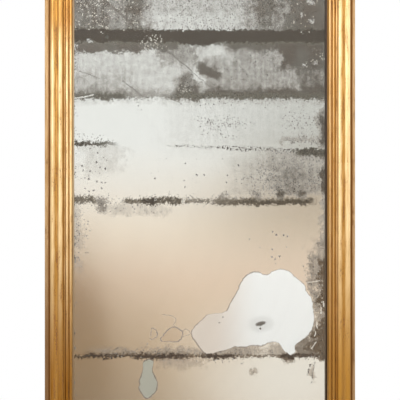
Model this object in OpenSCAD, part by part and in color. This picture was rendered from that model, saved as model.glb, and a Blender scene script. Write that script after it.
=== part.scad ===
// Pier mirror: one tall plate of foxed mercury glass in a gilt wood frame.
// A pine carcase, half lapped and pegged at its corners, carries a run gilt
// moulding that is mitred round the plate. Wedge blocks hold the plate from
// behind, thin boards are nailed across the back, and two ring hangers are
// screwed to the stiles.
//
// Millimetres. x runs to the right, the back plane is y = 0 with the front
// towards -y, and z runs up from the bottom edge.
// A section is drawn in (v, d): v inwards from the outer edge of the frame,
// d forwards from the back plane.

/* [Whole mirror] */
// Width over the frame
frame_w = 900; // [760:10:1100]
// Height over the frame
frame_h = 1800; // [1500:10:2200]

/* [Carcase] */
// Width of each stile and rail
rail_w = 75; // [72:1:80]
// Thickness of the stiles and rails
rail_t = 27; // [26:0.5:34]
// Depth of the rebate for the boards, from the back
rebate_d = 14; // [13:0.5:16]
// Width of the ledge that the boards are nailed to
ledge_w = 20; // [16:1:24]
// Radius of the outer front arris
arris_r = 3.5; // [1:0.5:6]
// Radius of the quirk cut beside the moulding
quirk_r = 1.2; // [0.6:0.1:1.6]
// Diameter of the pegs through the corner laps
peg_d = 8; // [5:0.5:10]

/* [Gilt moulding] */
// Flat margin of the carcase outside the moulding
margin_w = 14.5; // [12:0.5:16]
// Overhang of the moulding over the plate
lip_w = 10; // [7:0.5:12]
// Height of the moulding's flat ground over the carcase
ground_t = 8; // [6:0.5:9]
// Radius of the outer large reed
outer_reed_r = 8.5; // [8:0.1:9]
// Radius of the inner large reed
inner_reed_r = 10; // [9.5:0.1:10.2]
// Height of the large reeds' centres over the carcase
reed_rise = 14; // [13:0.5:16]
// Radius of the shallow hollow between the large reeds
hollow_r = 9; // [8:0.5:11]
// Radius of the outer bead
outer_bead_r = 4.9; // [4.5:0.1:5.1]
// Radius of the inner bead
inner_bead_r = 4.6; // [4.2:0.1:4.8]

/* [Plate] */
// Thickness of the glass
glass_t = 4.7; // [3:0.1:6]
// Thickness of the tin and mercury layer
silver_t = 0.3; // [0.2:0.1:0.5]
// Gap between the plate and the wall of its well
plate_gap = 2; // [1:0.5:4]
// Length of the wedge blocks
block_l = 45; // [30:1:60]

/* [Backboards] */
// Thickness of the boards
board_t = 11; // [9:0.5:12]
// Gap between the boards' ends and the rebate
board_gap = 2; // [1:0.5:4]
// Length of the thinned ends
feather_l = 25; // [10:1:40]
// Depth of the thinned ends
feather_d = 4; // [2:0.5:5]
// Width of the chamfers along the boards
chamfer_w = 11; // [5:1:20]
// Depth of the chamfers along the boards
chamfer_d = 3; // [1:0.5:4]

/* [Ring hangers] */
// Height of the hangers' barrels above the bottom edge, as a share of it all
hanger_share = 0.8; // [0.6:0.01:0.9]
// Distance of the hangers from the outer edge
hanger_inset = 27; // [22:1:34]
// Width of the strap
strap_w = 20; // [18:1:24]
// Length of the strap below its barrel
strap_l = 54; // [50:1:70]
// Thickness of the strap
strap_t = 1.5; // [1.2:0.1:1.8]
// Radius of the ring's wire
wire_r = 2; // [1.6:0.1:2.2]
// Running clearance of the wire in its barrel
wire_play = 0.08; // [0.02:0.01:0.1]

/* [Hidden] */
$fn = 48;
eps = 0.01;
pine = "#b98d5b";
old_pine = "#a47a4c";
leaf = "#d6a64e";
plate_tint = [0.80, 0.86, 0.84, 0.45];
amalgam = "#bdb9b0";
iron = "#4a423c";
brass = "#b08d4a";

// Carcase and well
ledge_v = rail_w - ledge_w;
lap_t = rail_t / 2;
well_w = frame_w - 2 * rail_w;
well_h = frame_h - 2 * rail_w;
quirk_v = margin_w - 0.9;
peg_near = 22;
peg_far = 48;

// Section of the moulding
sight_v = rail_w + lip_w;
ground_d = rail_t + ground_t;
reed_d = rail_t + reed_rise;
outer_reed_v = margin_w + outer_reed_r;
inner_reed_v = 44.2;
core_d = reed_d - 2;
side_set = 0.5;
bead_gap = 1.4;
outer_bead_v = 63.2;
inner_bead_v = outer_bead_v + outer_bead_r + bead_gap + inner_bead_r;
outer_bead_d = ground_d + 1.8;
inner_bead_d = ground_d - 1;
lip_cove_r = 8;
lip_cove_v = sight_v + 1.5;
lip_cove_d = ground_d + 2.5;

// Centre of the hollow, where it all but touches both large reeds
bite = 0.15;
reach_out = hollow_r + outer_reed_r - bite;
reach_in = hollow_r + inner_reed_r - bite;
reed_span = inner_reed_v - outer_reed_v;
hollow_v = (outer_reed_v + inner_reed_v) / 2
    + (reach_out * reach_out - reach_in * reach_in) / (2 * reed_span);
hollow_rise = sqrt(reach_out * reach_out - pow(hollow_v - outer_reed_v, 2));
hollow_d = reed_d + hollow_rise;

// Plate
plate_w = well_w - 2 * plate_gap;
plate_h = well_h - 2 * plate_gap;
silver_inset = 1;
silver_d = rail_t - glass_t - silver_t;
block_w = 12;
block_toe = 4;
block_clear = 0.3;
stile_block_shares = [-0.41, -0.2, 0, 0.2, 0.41];
rail_block_shares = [-0.32, 0, 0.32];

// Backboards, from the bottom up: sawn widths and the gaps they have shrunk to
sawn_widths = [198, 194, 149, 150, 149, 159, 145, 174, 173, 195];
shrink_gaps = [0, 2, 3, 1, 1, 3, 3, 3, 6, 3, 0];
board_n = len(sawn_widths);
board_l = frame_w - 2 * ledge_v - 2 * board_gap;
boards_h = frame_h - 2 * ledge_v - 2 * board_gap;
sawn_total = sum_to(sawn_widths, board_n);
function sum_to(list, n) = n == 0 ? 0 : list[n - 1] + sum_to(list, n - 1);
function board_joint(i) =
    ledge_v + board_gap + boards_h * sum_to(sawn_widths, i) / sawn_total;
function board_low(i) = board_joint(i) + shrink_gaps[i] / 2;
function board_high(i) = board_joint(i + 1) - shrink_gaps[i + 1] / 2;

// Cut nails
nail_s = 2.4;
nail_head_s = 5;
nail_head_t = 1.4;
nail_l = 19;
nail_top_d = 4.6;
nail_end = 8;
nail_shares = [0.2, 0.8];

// Hangers
hanger_x = frame_w / 2 - hanger_inset;
hanger_z = frame_h * hanger_share;
barrel_y = wire_r + strap_t + 0.3;
barrel_r = barrel_y - 0.05;
barrel_bore_r = wire_r + wire_play;
seam_w = 0.4;
seam_turn = 20;
ring_bend_r = 3.5;
ring_leg_x = 14;
ring_leg_l = 14;
screw_drops = [16, 42];
screw_r = 2;
screw_head_r = 4;
screw_l = 19;
slot_w = 0.9;
slot_d = 0.7;

// Names of the repeated pieces
function board_name(i) = str("backboard_", i < 9 ? "0" : "", i + 1);
function block_name(side, i) = str("glass_block_", side, "_", i + 1);
SIDES = ["left", "right"];
ENDS = ["bottom", "top"];

// ---- Placing ----

// Runs a section in (v, d) up the left stile, centred on half height
module run(length) {
    mirror([0, 1, 0])
        linear_extrude(length, center = true) children();
}

// Puts a member drawn round v = 0 on the left or the right
module on_stile(side) {
    mirror([side == "right" ? 1 : 0, 0, 0])
        translate([-frame_w / 2, 0, frame_h / 2])
            children();
}

// Puts a member drawn round v = 0 along the bottom or the top
module on_rail(end) {
    translate([0, 0, end == "top" ? frame_h : 0])
        mirror([0, 0, end == "top" ? 1 : 0])
            rotate([0, -90, 0])
                children();
}

// All that lies within the mitres of a member whose outer length is given
module between_mitres(length) {
    v = rail_w + 2 * lip_w;
    rotate([90, 0, 0])
        linear_extrude(4 * rail_t, center = true)
            polygon([
                [0, -length / 2],
                [v, v - length / 2],
                [v, length / 2 - v],
                [0, length / 2]
            ]);
}

// A box over a range of x, of depth d from the back plane, and of z
module block(x, d, z) {
    translate([x[0], -d[1], z[0]])
        cube([x[1] - x[0], d[1] - d[0], z[1] - z[0]]);
}

// ---- Carcase ----

// Section of a member v wide, with its outer front arris rounded
module rounded_member(v) {
    square([v, rail_t - arris_r]);
    translate([arris_r, 0])
        square([v - arris_r, rail_t]);
    translate([arris_r, rail_t - arris_r])
        circle(arris_r);
}

// Section of a stile or rail before its laps are cut
module carcase_section() {
    difference() {
        rounded_member(rail_w);
        translate([ledge_v, -eps])
            square([rail_w, rebate_d + eps]);
    }
}

// What comes off the ends of the stiles to match the arris of the rails
module end_rounding() {
    difference() {
        block([-frame_w, frame_w], [-eps, rail_t + eps], [-eps, frame_h + eps]);
        intersection_for(end = ENDS)
            on_rail(end)
                run(2 * frame_w)
                    rounded_member(2 * frame_h);
    }
}

// The quirk that runs round the outside of the moulding
module quirk() {
    quirk_x = frame_w / 2 - quirk_v;
    for (x = [-quirk_x, quirk_x])
        translate([x, -rail_t, quirk_v - quirk_r])
            cylinder(frame_h - 2 * (quirk_v - quirk_r), r = quirk_r);
    for (z = [quirk_v, frame_h - quirk_v])
        translate([-quirk_x - quirk_r, -rail_t, z])
            rotate([0, 90, 0])
                cylinder(2 * (quirk_x + quirk_r), r = quirk_r);
}

// The part of the corners' laps that the stiles take, in front, or that the
// rails take, behind, where the rebate has made them narrower
module lap(front) {
    d = front ? [lap_t, rail_t + 1] : [-1, lap_t];
    h = front ? rail_w : ledge_v;
    for (x = [-frame_w / 2 - 1, frame_w / 2 - rail_w])
        for (z = [-1, frame_h - h])
            block([x, x + rail_w + 1], d, [z, z + h + 1]);
}

module rebate() {
    reach = frame_w / 2 - ledge_v;
    block([-reach, reach], [-1, rebate_d], [ledge_v, frame_h - ledge_v]);
}

module carcase_stile(side) {
    color(pine)
        difference() {
            on_stile(side)
                run(frame_h) carcase_section();
            lap(front = false);
            rebate();
            end_rounding();
            quirk();
            corner_pegs(peg_d);
            nails(side);
            hanger_screws_at(side);
        }
}

module carcase_rail(end) {
    color(pine)
        difference() {
            on_rail(end)
                run(frame_w) carcase_section();
            lap(front = true);
            rebate();
            quirk();
            corner_pegs(peg_d);
        }
}

// Two pegs in each corner, set across the lap
module corner_pegs(d) {
    color(old_pine)
        for (sx = [-1, 1])
            for (end = ENDS)
                for (p = [[peg_near, peg_far], [peg_far, peg_near]])
                    translate([
                        sx * (frame_w / 2 - p[0]),
                        0,
                        end == "top" ? frame_h - p[1] : p[1]
                    ])
                        rotate([90, 0, 0])
                            cylinder(rail_t, d = d);
}

// ---- Gilt moulding ----

// What the reeds and beads are worked on: it rises between the large reeds
// to the two points where the hollow leaves them
module moulding_ground() {
    polygon([
        [margin_w + side_set, rail_t],
        [margin_w + side_set, core_d],
        [outer_reed_v, core_d],
        [outer_reed_v, reed_d] + outer_reed_r * hollow_aim(outer_reed_v),
        [inner_reed_v, reed_d] + inner_reed_r * hollow_aim(inner_reed_v),
        [inner_reed_v, core_d],
        [inner_reed_v + inner_reed_r - side_set, core_d],
        [inner_reed_v + inner_reed_r - side_set, ground_d],
        [sight_v, ground_d],
        [sight_v, rail_t]
    ]);
}

// Direction from a reed's centre to the centre of the hollow
function hollow_aim(v) =
    [hollow_v - v, hollow_rise] / norm([hollow_v - v, hollow_rise]);

// A round stick or a round plane's cut, from its radius and its centre in (v, d)
module round_run(length, r, v, d) {
    run(length)
        translate([v, d])
            circle(r);
}

// Two large reeds with a hollow between them, then a deep flat, two beads
// stepping down, and a small cove to the sight edge, mitred at both ends
module gilt_moulding(length) {
    color(leaf)
        intersection() {
            difference() {
                union() {
                    run(length) moulding_ground();
                    round_run(length, outer_reed_r, outer_reed_v, reed_d);
                    round_run(length, inner_reed_r, inner_reed_v, reed_d);
                    round_run(length, outer_bead_r, outer_bead_v, outer_bead_d);
                    round_run(length, inner_bead_r, inner_bead_v, inner_bead_d);
                }
                round_run(length + 2, hollow_r, hollow_v, hollow_d);
                round_run(length + 2, lip_cove_r, lip_cove_v, lip_cove_d);
            }
            between_mitres(length);
        }
}

module gilt_moulding_stile(side) {
    on_stile(side) gilt_moulding(frame_h);
}

module gilt_moulding_rail(end) {
    on_rail(end) gilt_moulding(frame_w);
}

// ---- Plate ----

module mirror_glass() {
    color(plate_tint)
        block(
            [-plate_w / 2, plate_w / 2],
            [rail_t - glass_t, rail_t],
            [(frame_h - plate_h) / 2, (frame_h + plate_h) / 2]
        );
}

module silvering() {
    w = plate_w / 2 - silver_inset;
    h = plate_h / 2 - silver_inset;
    color(amalgam)
        block([-w, w], [silver_d, silver_d + silver_t], [frame_h / 2 - h, frame_h / 2 + h]);
}

// A wedge glued to the wall of the well, with its foot on the plate
module glass_block() {
    color(old_pine)
        run(block_l)
            polygon([
                [rail_w, rebate_d + block_clear],
                [rail_w + block_toe, rebate_d + block_clear],
                [rail_w + block_w, silver_d - block_toe / 2],
                [rail_w + block_w, silver_d],
                [rail_w, silver_d]
            ]);
}

module glass_block_stile(side, i) {
    on_stile(side)
        translate([0, 0, well_h * stile_block_shares[i]])
            glass_block();
}

module glass_block_rail(end, i) {
    on_rail(end)
        translate([0, 0, well_w * rail_block_shares[i]])
            glass_block();
}

// ---- Backboards ----

// A board with chamfered long edges and thinned ends, both on the back
module backboard(i) {
    h = board_high(i) - board_low(i);
    back_d = rebate_d - board_t;
    color(i % 2 == 0 ? pine : old_pine)
        difference() {
            intersection() {
                translate([-board_l / 2, 0, board_low(i)])
                    rotate([90, 0, 90])
                        linear_extrude(board_l)
                            bevelled(h, back_d, chamfer_w, chamfer_d);
                translate([0, 0, board_low(i) - 1])
                    linear_extrude(h + 2)
                        rotate(-90)
                            translate([0, -board_l / 2])
                                mirror([1, 0])
                                    bevelled(board_l, back_d, feather_l, feather_d);
            }
            for (side = SIDES)
                nails(side, i);
        }
}

// Section of a board l long in y, with its back towards +x of the drawing
module bevelled(l, back_d, bevel_l, bevel_d) {
    polygon([
        [-rebate_d, 0],
        [-rebate_d, l],
        [-back_d - bevel_d, l],
        [-back_d, l - bevel_l],
        [-back_d, bevel_l],
        [-back_d - bevel_d, 0]
    ]);
}

// Cut nails down one side: of all the boards, or of one of them
module nails(side, only = -1) {
    x = (side == "left" ? -1 : 1) * (board_l / 2 - nail_end);
    color(iron)
        for (i = only < 0 ? [0 : board_n - 1] : [only])
            for (share = nail_shares)
                translate([x, 0, board_low(i) + share * (board_high(i) - board_low(i))])
                    cut_nail();
}

module cut_nail() {
    s = nail_s / 2;
    head_s = nail_head_s / 2;
    head_d = nail_top_d + nail_head_t;
    block([-head_s, head_s], [nail_top_d, head_d], [-head_s, head_s]);
    block([-s, s], [head_d - eps, nail_top_d + nail_l], [-s, s]);
}

module backboard_nails() {
    for (side = SIDES)
        nails(side);
}

// ---- Ring hangers ----

module at_hanger(side) {
    translate([side == "left" ? -hanger_x : hanger_x, 0, hanger_z])
        children();
}

// A strap with a rounded foot, rolled into an open barrel at its top
module hanger_strap(side) {
    color(brass)
        at_hanger(side)
            difference() {
                intersection() {
                    translate([-strap_w / 2, 0, 0])
                        rotate([90, 0, 90])
                            linear_extrude(strap_w) strap_section();
                    strap_outline();
                }
                barrel_seam();
                screws();
            }
}

module strap_section() {
    difference() {
        union() {
            translate([0, -strap_l])
                square([strap_t, strap_l]);
            translate([barrel_y, 0])
                circle(barrel_r);
        }
        translate([barrel_y, 0])
            circle(barrel_bore_r);
    }
}

module strap_outline() {
    foot_r = strap_w / 2;
    rotate([90, 0, 0])
        linear_extrude(8 * barrel_r, center = true) {
            translate([0, foot_r - strap_l])
                circle(foot_r);
            translate([-foot_r, foot_r - strap_l])
                square([strap_w, strap_l]);
        }
}

// The slit where the rolled edge stops short of the strap
module barrel_seam() {
    translate([0, barrel_y, 0])
        rotate([seam_turn, 0, 0])
            translate([-strap_w, -seam_w / 2, -2 * barrel_r])
                cube([2 * strap_w, seam_w, 2 * barrel_r]);
}

// Ring of round wire: a bar in the barrel, two bends, two legs and a half round
module hanger_ring(side) {
    bar_x = ring_leg_x - ring_bend_r;
    color(brass)
        at_hanger(side)
            translate([0, barrel_y, 0]) {
                rotate([0, 90, 0])
                    cylinder(2 * bar_x, r = wire_r, center = true);
                for (flip = [0, 1])
                    mirror([flip, 0, 0]) {
                        translate([bar_x, 0, -ring_bend_r])
                            rotate([90, 0, 0])
                                rotate_extrude(angle = 90)
                                    translate([ring_bend_r, 0]) circle(wire_r);
                        translate([ring_leg_x, 0, -ring_leg_l])
                            cylinder(ring_leg_l - ring_bend_r, r = wire_r);
                    }
                translate([0, 0, -ring_leg_l])
                    rotate([-90, 0, 0])
                        rotate_extrude(angle = 180)
                            translate([ring_leg_x, 0]) circle(wire_r);
            }
}

// The solid of both screws of a hanger, without their slots
module screws() {
    for (drop = screw_drops)
        translate([0, 0, -drop])
            rotate([90, 0, 0])
                screw_body();
}

module screw_body() {
    translate([0, 0, -strap_t]) {
        cylinder(screw_head_r - screw_r, r1 = screw_head_r, r2 = screw_r);
        cylinder(screw_l, r = screw_r);
    }
}

module hanger_screws_at(side) {
    at_hanger(side) screws();
}

module hanger_screws() {
    color(iron)
        for (side = SIDES)
            difference() {
                hanger_screws_at(side);
                at_hanger(side)
                    for (drop = screw_drops)
                        translate([0, strap_t, -drop])
                            rotate([0, drop, 0])
                                cube([3 * screw_head_r, 2 * slot_d, slot_w], center = true);
            }
}

for (side = SIDES) {
    carcase_stile(side);
    gilt_moulding_stile(side);
    hanger_strap(side);
    hanger_ring(side);
    for (i = [0 : 4])
        glass_block_stile(side, i);
}
for (end = ENDS) {
    carcase_rail(end);
    gilt_moulding_rail(end);
    for (i = [0 : 2])
        glass_block_rail(end, i);
}
for (i = [0 : board_n - 1])
    backboard(i);
mirror_glass();
silvering();
backboard_nails();
corner_pegs(peg_d);
hanger_screws();
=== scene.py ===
import math

import bmesh
import bpy
from mathutils import Matrix, Vector, noise


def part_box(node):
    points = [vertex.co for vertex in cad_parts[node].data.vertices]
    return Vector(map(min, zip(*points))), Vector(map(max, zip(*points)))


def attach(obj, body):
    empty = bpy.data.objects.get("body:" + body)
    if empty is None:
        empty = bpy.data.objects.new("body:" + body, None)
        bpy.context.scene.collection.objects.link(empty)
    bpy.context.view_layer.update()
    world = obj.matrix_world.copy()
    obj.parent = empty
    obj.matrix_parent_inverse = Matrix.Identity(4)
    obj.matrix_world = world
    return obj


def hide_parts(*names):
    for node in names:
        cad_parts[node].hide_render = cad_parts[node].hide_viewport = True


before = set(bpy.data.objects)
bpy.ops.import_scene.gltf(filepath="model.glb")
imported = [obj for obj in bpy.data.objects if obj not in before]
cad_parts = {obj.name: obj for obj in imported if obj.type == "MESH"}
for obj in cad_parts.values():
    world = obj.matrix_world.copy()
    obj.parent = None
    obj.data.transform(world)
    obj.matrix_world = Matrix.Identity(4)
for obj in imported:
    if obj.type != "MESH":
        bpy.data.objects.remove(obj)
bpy.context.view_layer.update()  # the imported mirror, in metres: x across, -y to the front, z up from the bottom edge

mm = 0.001
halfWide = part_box("carcase_right")[1].x
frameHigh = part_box("carcase_left")[1].z
halfHigh = frameHigh / 2
carcaseFront = -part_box("carcase_left")[0].y  # how far the carcase stands off the wall
boardCount = 10
boards = [f"backboard_{number:02d}" for number in range(1, boardCount + 1)]


def tint(red, green, blue):  # a colour as the eye sees it, 0 to 255, for a shader
    def linear(value):
        level = value / 255
        return level / 12.92 if level <= 0.04045 else ((level + 0.055) / 1.055) ** 2.4

    return (linear(red), linear(green), linear(blue), 1)


class Wire:  # one socket, so that shader maths reads as sums
    def __init__(self, paint, socket):
        self.paint = paint
        self.socket = socket

    def __add__(self, other):
        return self.paint.maths("ADD", self, other)

    __radd__ = __add__

    def __sub__(self, other):
        return self.paint.maths("SUBTRACT", self, other)

    def __rsub__(self, other):
        return self.paint.maths("SUBTRACT", other, self)

    def __mul__(self, other):
        return self.paint.maths("MULTIPLY", self, other)

    __rmul__ = __mul__

    def __truediv__(self, other):
        return self.paint.maths("DIVIDE", self, other)

    def __rtruediv__(self, other):
        return self.paint.maths("DIVIDE", other, self)

    def __abs__(self):
        return self.paint.maths("ABSOLUTE", self)


class Paint:  # one node tree, and the one way in which its nodes are made
    def __init__(self, owner):
        self.owner = owner
        owner.use_nodes = True
        self.tree = owner.node_tree
        self.tree.nodes.clear()

    def node(self, kind, settings=None, values=None, out=0):
        made = self.tree.nodes.new("ShaderNode" + kind)
        for name, value in (settings or {}).items():
            if name == "stops":  # of a colour ramp
                for _ in range(len(value) - len(made.color_ramp.elements)):
                    made.color_ramp.elements.new(1)
                for stop, (place, colour) in zip(made.color_ramp.elements, value):
                    stop.position = place
                    stop.color = colour
            elif name == "turns":  # of a curve
                line = made.mapping.curves[0]
                for _ in range(len(value) - len(line.points)):
                    line.points.new(0.5, 0.5)
                for point, place in zip(line.points, value):
                    point.location = place
                    point.handle_type = "AUTO_CLAMPED"
                made.mapping.update()
            else:
                setattr(made, name, value)
        for key, value in (values or {}).items():
            if isinstance(value, Wire):
                self.tree.links.new(value.socket, made.inputs[key])
            else:
                made.inputs[key].default_value = value
        return Wire(self, made.outputs[out]) if made.outputs else None

    def maths(self, operation, *values):
        return self.node("Math", {"operation": operation}, dict(enumerate(values)))

    def most(self, first, second):
        return self.maths("MAXIMUM", first, second)

    def clamped(self, value):
        return self.node("Clamp", values={0: value})

    def objectSpot(self):
        return self.node("TexCoord", out=3)

    def split(self, vector, wanted="xyz"):
        parts = self.node("SeparateXYZ", values={0: vector}).socket.node
        return [Wire(self, parts.outputs["xyz".index(axis)]) for axis in wanted]

    def joined(self, x, y, z):
        return self.node("CombineXYZ", values={0: x, 1: y, 2: z})

    def vector(self, operation, *values, out=0):
        return self.node("VectorMath", {"operation": operation}, dict(enumerate(values)), out)

    def pulled(self, place, pull, reach):
        return self.vector("ADD", place, self.vector("MULTIPLY", pull, reach))

    def mixed(self, factor, first, second):
        return self.node("Mix", {"data_type": "RGBA"}, {0: factor, 6: first, 7: second}, out=2)

    def dimmed(self, factor, first, second):
        settings = {"data_type": "RGBA", "blend_type": "MULTIPLY"}
        return self.node("Mix", settings, {0: factor, 6: first, 7: second}, out=2)

    def eased(self, value, start, end, low=0.0, high=1.0):
        values = {"Value": value, "From Min": start, "From Max": end, "To Min": low, "To Max": high}
        return self.node("MapRange", {"interpolation_type": "SMOOTHSTEP", "clamp": False}, values)

    def cloud(self, place, size, detail=3.0, roughness=0.5, out=0):
        values = {"Vector": place, "Scale": 1 / size, "Detail": detail, "Roughness": roughness}
        return self.node("TexNoise", values=values, out=out)

    def bumped(self, strength, distance, height):
        return self.node("Bump", values={"Strength": strength, "Distance": distance, "Height": height})

    def shader(self, values):
        surface = self.node("BsdfPrincipled", values=values)
        self.node("OutputMaterial", values={"Surface": surface})
        return self.owner


def newPaint(name):
    return Paint(bpy.data.materials.new(name))


def rounds(paint, place, marks, edge=0.75):  # the sum of soft ellipses
    total = None
    for x, z, wide, high, degrees, strength in marks.values():
        values = {
            "Vector": place, "Location": (x, 0, z), "Rotation": (0, math.radians(-degrees), 0),
            "Scale": (wide, 1000, high),
        }
        turned = paint.node("Mapping", {"vector_type": "TEXTURE"}, values)
        near = paint.node("TexGradient", {"gradient_type": "SPHERICAL"}, {0: turned}, out=1)
        mark = paint.eased(near, 0, edge, 0, strength)
        total = mark if total is None else total + mark
    return total


def finishPiece(name, shape, finish, replaced, creaseDegrees):
    mesh = bpy.data.meshes.new(name)
    shape.to_mesh(mesh)
    shape.free()
    mesh.shade_smooth()
    mesh.set_sharp_from_angle(angle=math.radians(creaseDegrees))
    mesh.materials.append(finish)
    piece = bpy.data.objects.new(name, mesh)
    bpy.context.scene.collection.objects.link(piece)
    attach(piece, "frame")
    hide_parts(replaced)


def dress(finish, *nodes):  # a better material on nodes whose shape is right
    for name in nodes:
        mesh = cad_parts[name].data
        mesh.materials.clear()
        mesh.materials.append(finish)


shot = {  # the camera faces the plate from a little to its left
    "distance": 8.5,
    "left": 0.47,
    "edgePixels": 155.2,  # from the middle of the photo to either edge of the frame
    "halfPixels": 200,
}


def makeCamera():
    deep = shot["distance"] - carcaseFront
    toLeft = math.atan((shot["left"] - halfWide) / deep)
    toRight = math.atan((shot["left"] + halfWide) / deep)
    camera = bpy.data.objects.new("camera", bpy.data.cameras.new("camera"))
    share = shot["edgePixels"] / shot["halfPixels"]
    camera.data.lens = camera.data.sensor_width / 2 * share / math.tan((toRight - toLeft) / 2)
    camera.location = (-shot["left"], -shot["distance"], halfHigh)
    camera.rotation_euler = (math.pi / 2, 0, -(toLeft + toRight) / 2)
    bpy.context.scene.collection.objects.link(camera)
    bpy.context.scene.camera = camera


makeCamera()
print("camera set")


# White shows behind. The plate and the gold reflect a daylit room, pale above the eye and warm below.
# Places in it are given in mm as where on the plate they are seen, from its middle.
room = {
    "bright": tint(255, 253, 248),
    "top": tint(246, 246, 243),
    "wall": tint(250, 250, 247),
    "dado": tint(252, 236, 216),
    "chairRail": tint(240, 213, 188),
    "wainscot": tint(224, 198, 168),
    "boards": tint(206, 186, 162),
    "shade": tint(178, 162, 142),
    "shadeHigh": tint(184, 183, 178),
    "highFrom": -20,
    "highTo": 220,
    "glow": tint(246, 238, 226),
    "markEdge": 0.9,
    "span": 1250,
    "left": 0.88,  # how bright each side is beside the daylit wall that faces the mirror
    "right": 0.80,
    "sideways": 0.7,  # how far round to the sides these are reached
    "facingFrom": -0.80,  # and where the facing wall begins and is whole
    "facingTo": -0.95,
    "aboveAndBelow": 0.30,
    "steepAt": 0.75,  # rise over run, where the ceiling and the floor are reached
    "levelAt": 0.25,
}
roomHeights = [
    (-950, "bright"), (-700, "boards"), (-425, "wainscot"), (-225, "chairRail"), (-80, "dado"), (150, "wall"),
    (700, "top"), (950, "bright"),
]
# Rounded marks: middle x and z, half width and height, turn in degrees, and strength.
roomShades = {
    "lowLeft": (-470, -625, 600, 625, -20, 1.0),
    "farLeft": (-400, -330, 190, 400, 0, 0.58),
    "midRight": (360, 30, 520, 270, 10, 0.72),
    "highRight": (350, 340, 480, 380, 0, 0.52),
}
roomGlow = {"lowRight": (280, -500, 425, 300, 0, 1.0)}
lamps = {
    "window": {"place": (-0.1, -1.35, 2.15), "aim": (0, 0, 1.25), "wide": 2.0, "high": 0.9, "power": 17},
    "tallWindow": {"place": (-1.15, -2, 1.75), "aim": (0.1, 0, 1.25), "wide": 1.1, "high": 1.2, "power": 15},
    "doorway": {"place": (1.8, -1.2, 1.5), "aim": (0.45, 0, 1.2), "wide": 0.8, "high": 1.5, "power": 9},
}


def makeRoom():
    world = bpy.data.worlds.new("room")
    bpy.context.scene.world = world
    paint = Paint(world)
    across, away, up = paint.split(paint.node("TexCoord"))
    flat = paint.vector("LENGTH", paint.joined(across, away, 0), out=1)
    rise = up / flat
    side = across / flat
    seenX = side * (shot["distance"] / mm) - shot["left"] / mm
    seenZ = rise * (shot["distance"] / mm)
    span = room["span"]
    height = paint.node("MapRange", values={"Value": seenZ, "From Min": -span, "From Max": span})
    stops = [((place / span + 1) / 2, room[name]) for place, name in roomHeights]
    walls = paint.node("ValToRGB", {"stops": stops}, {0: height})
    place = paint.joined(seenX, 0, seenZ)
    facing = paint.eased(away / flat, room["facingFrom"], room["facingTo"])
    level = paint.eased(abs(rise), room["steepAt"], room["levelAt"])
    shades = paint.clamped(rounds(paint, place, roomShades, room["markEdge"]))
    glow = paint.clamped(rounds(paint, place, roomGlow, room["markEdge"]))
    isHigh = paint.eased(seenZ, room["highFrom"], room["highTo"])
    shade = paint.mixed(isHigh, room["shade"], room["shadeHigh"])
    walls = paint.dimmed(shades * facing, walls, shade)
    walls = paint.mixed(glow * facing, walls, room["glow"])
    beside = paint.eased(side, -room["sideways"], room["sideways"], room["left"], room["right"])
    around = beside + facing * (1 - beside)
    strength = room["aboveAndBelow"] + level * (around - room["aboveAndBelow"])
    seen = paint.node("Background", values={0: (1, 1, 1, 1), 1: 1.0})
    lit = paint.node("Background", values={0: walls, 1: strength})
    camera = paint.node("LightPath", out=0)
    both = paint.node("MixShader", values={0: camera, 1: lit, 2: seen})
    paint.node("OutputWorld", values={"Surface": both})


def makeLamp(name, facts):
    lamp = bpy.data.lights.new(name, "AREA")
    lamp.shape = "RECTANGLE"
    lamp.size = facts["wide"]
    lamp.size_y = facts["high"]
    lamp.energy = facts["power"]
    holder = bpy.data.objects.new(name, lamp)
    holder.location = facts["place"]
    toward = Vector(facts["aim"]) - Vector(facts["place"])
    holder.rotation_euler = toward.to_track_quat("-Z", "Y").to_euler()
    holder.visible_camera = False
    bpy.context.scene.collection.objects.link(holder)


makeRoom()
for lampName, lampFacts in lamps.items():
    makeLamp(lampName, lampFacts)
bpy.context.scene.view_settings.view_transform = "Standard"
print("room lit")


# A pale floor that fades into the white, in metres.
floor = {
    "radius": 2.9,
    "solidTo": 1.1,
    "whiteFrom": 2.813,
    "sides": 96,
    "colour": tint(236, 234, 230),
    "speckle": tint(214, 210, 204),
    "speckleWide": 0.02,
    "speckled": 0.12,
    "roughness": 0.8,
}


def makeFloor():
    shape = bmesh.new()
    bmesh.ops.create_circle(shape, cap_ends=True, segments=floor["sides"], radius=floor["radius"])
    mesh = bpy.data.meshes.new("floor")
    shape.to_mesh(mesh)
    shape.free()
    piece = bpy.data.objects.new("floor", mesh)
    bpy.context.scene.collection.objects.link(piece)
    paint = newPaint("palePlaster")
    spot = paint.objectSpot()
    fade = paint.eased(paint.vector("LENGTH", spot, out=1), floor["solidTo"], floor["whiteFrom"])
    speckle = paint.cloud(spot, floor["speckleWide"], 4.0)
    colour = paint.mixed(speckle * floor["speckled"], floor["colour"], floor["speckle"])
    matt = paint.node("BsdfPrincipled", values={"Base Color": colour, "Roughness": floor["roughness"]})
    white = paint.node("Emission", values={0: (1, 1, 1, 1), 1: 1.0})
    both = paint.node("MixShader", values={0: fade, 1: matt, 2: white})
    paint.node("OutputMaterial", values={"Surface": both})
    mesh.materials.append(paint.owner)


makeFloor()
print("floor laid")


# The gilt moulding is run as one section in gesso, mitred round the plate and water gilded.
# Its section is in mm: how far in from the frame's outer edge, and how far off the wall.

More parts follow.
